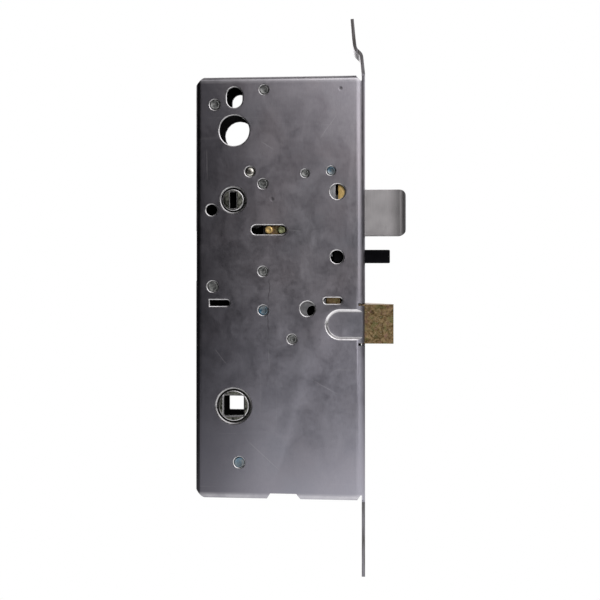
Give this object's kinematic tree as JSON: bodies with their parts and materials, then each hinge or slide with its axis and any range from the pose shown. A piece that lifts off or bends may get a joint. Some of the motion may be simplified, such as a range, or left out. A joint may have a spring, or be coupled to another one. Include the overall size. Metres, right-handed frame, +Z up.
{
  "type": "mortise lock",
  "caption": "Mortise lock for a hinged door: folded steel case with mounting tabs, deadbolt, guard bolt and bevelled latchbolt, lever hub and thumb turn hub.",
  "frame": {"origin": "on the outer face of the case's front, centred across its thickness, level with the lever spindle", "axes": "+X out of the door's edge along the bolts, +Y from the side plate with the staked posts to the cover plate, +Z up"},
  "size_m": [0.0803, 0.0165, 0.2119],
  "materials": {
    "case_steel": "cold-rolled sheet, dull satin with soft smudges",
    "plain_steel": "satin",
    "zinc_plate": "grey zinc plate",
    "blue_zinc": "bluish passivated zinc plate",
    "bright_zinc": "bright zinc plate",
    "hub_zinc": "dark die-cast zinc",
    "stainless": "fine brushed stainless steel",
    "brass": "satin",
    "dull_brass": "tarnished",
    "dichromate": "yellow dichromate zinc plate, iridescent",
    "black": "matte black",
    "spring_steel": "oiled spring wire"
  },
  "bodies": {
    "case": {"case_shell": "case_steel", "cover_plate": "case_steel", "post_top_rear": "zinc_plate", "post_top": "zinc_plate", "post_deadlock_pivot": "zinc_plate", "post_deadbolt_rear": "zinc_plate", "post_deadbolt_front": "blue_zinc", "post_centre": "zinc_plate", "post_rear": "zinc_plate", "post_latch_rear": "blue_zinc", "post_latch_lower": "zinc_plate", "post_bottom": "blue_zinc", "cover_screw_top_rear": "zinc_plate", "cover_screw_deadbolt_front": "zinc_plate", "cover_screw_rear": "zinc_plate", "cover_screw_bottom": "zinc_plate", "cover_screw_long": "bright_zinc", "detent_spring": "spring_steel", "lever_spring": "spring_steel", "guard_guide": "zinc_plate", "guard_spring": "spring_steel", "latch_spring": "spring_steel", "spring_seat": "zinc_plate"},
    "deadbolt": {"deadbolt_head": "stainless", "deadbolt_block": "brass", "deadbolt_dowel": "zinc_plate", "deadbolt_tail": "plain_steel", "deadbolt_rivet_upper": "zinc_plate", "deadbolt_rivet_lower": "zinc_plate"},
    "thumb_turn": {"thumb_turn_hub": "hub_zinc", "thumb_turn_arm": "plain_steel", "thumb_turn_drive_pin": "zinc_plate"},
    "guard": {"guard_bolt": "black"},
    "deadlock": {"deadlock_lever": "dichromate", "deadlock_pin_rear": "brass", "deadlock_pin_front": "dull_brass"},
    "latch": {"latch_head": "dichromate", "latch_tail": "plain_steel", "latch_rivet": "zinc_plate", "latch_stem": "zinc_plate"},
    "lever": {"lever_hub": "hub_zinc"}
  },
  "joints": [
    {"name": "thumb_turn_spin", "type": "hinge", "parent": "case", "child": "thumb_turn", "pos_m": [-0.0502, 0, 0.0785], "axis": [0, 1, 0], "range_deg": [0, 90]},
    {"name": "deadbolt_slide", "type": "slide", "parent": "case", "child": "deadbolt", "axis": [1, 0, 0], "range_m": [-0.0154, 0]},
    {"name": "lever_turn", "type": "hinge", "parent": "case", "child": "lever", "pos_m": [-0.05, 0, 0], "axis": [0, -1, 0], "range_deg": [0, 40], "stiffness_Nm_per_rad": 0.02, "springref_deg": -57.3, "deforming": ["lever_spring"]},
    {"name": "latch_slide", "type": "slide", "parent": "case", "child": "latch", "axis": [1, 0, 0], "range_m": [-0.0105, 0], "stiffness_N_per_m": 150, "springref_m": 0.02, "deforming": ["latch_spring"]},
    {"name": "guard_slide", "type": "slide", "parent": "case", "child": "guard", "axis": [1, 0, 0], "range_m": [-0.009, 0], "stiffness_N_per_m": 60, "springref_m": 0.01, "deforming": ["guard_spring"]},
    {"name": "deadlock_turn", "type": "hinge", "parent": "case", "child": "deadlock", "pos_m": [-0.0388, 0, 0.0846], "axis": [0, 1, 0], "range_deg": [0, 18.7]}
  ],
  "couplings": [
    {"joint": "thumb_turn_spin", "follows": "deadbolt_slide", "rad_per_m": -101.99},
    {"joint": "lever_turn", "follows": "latch_slide", "rad_per_m": -66.48},
    {"joint": "deadlock_turn", "follows": "guard_slide", "rad_per_m": -36.232}
  ]
}
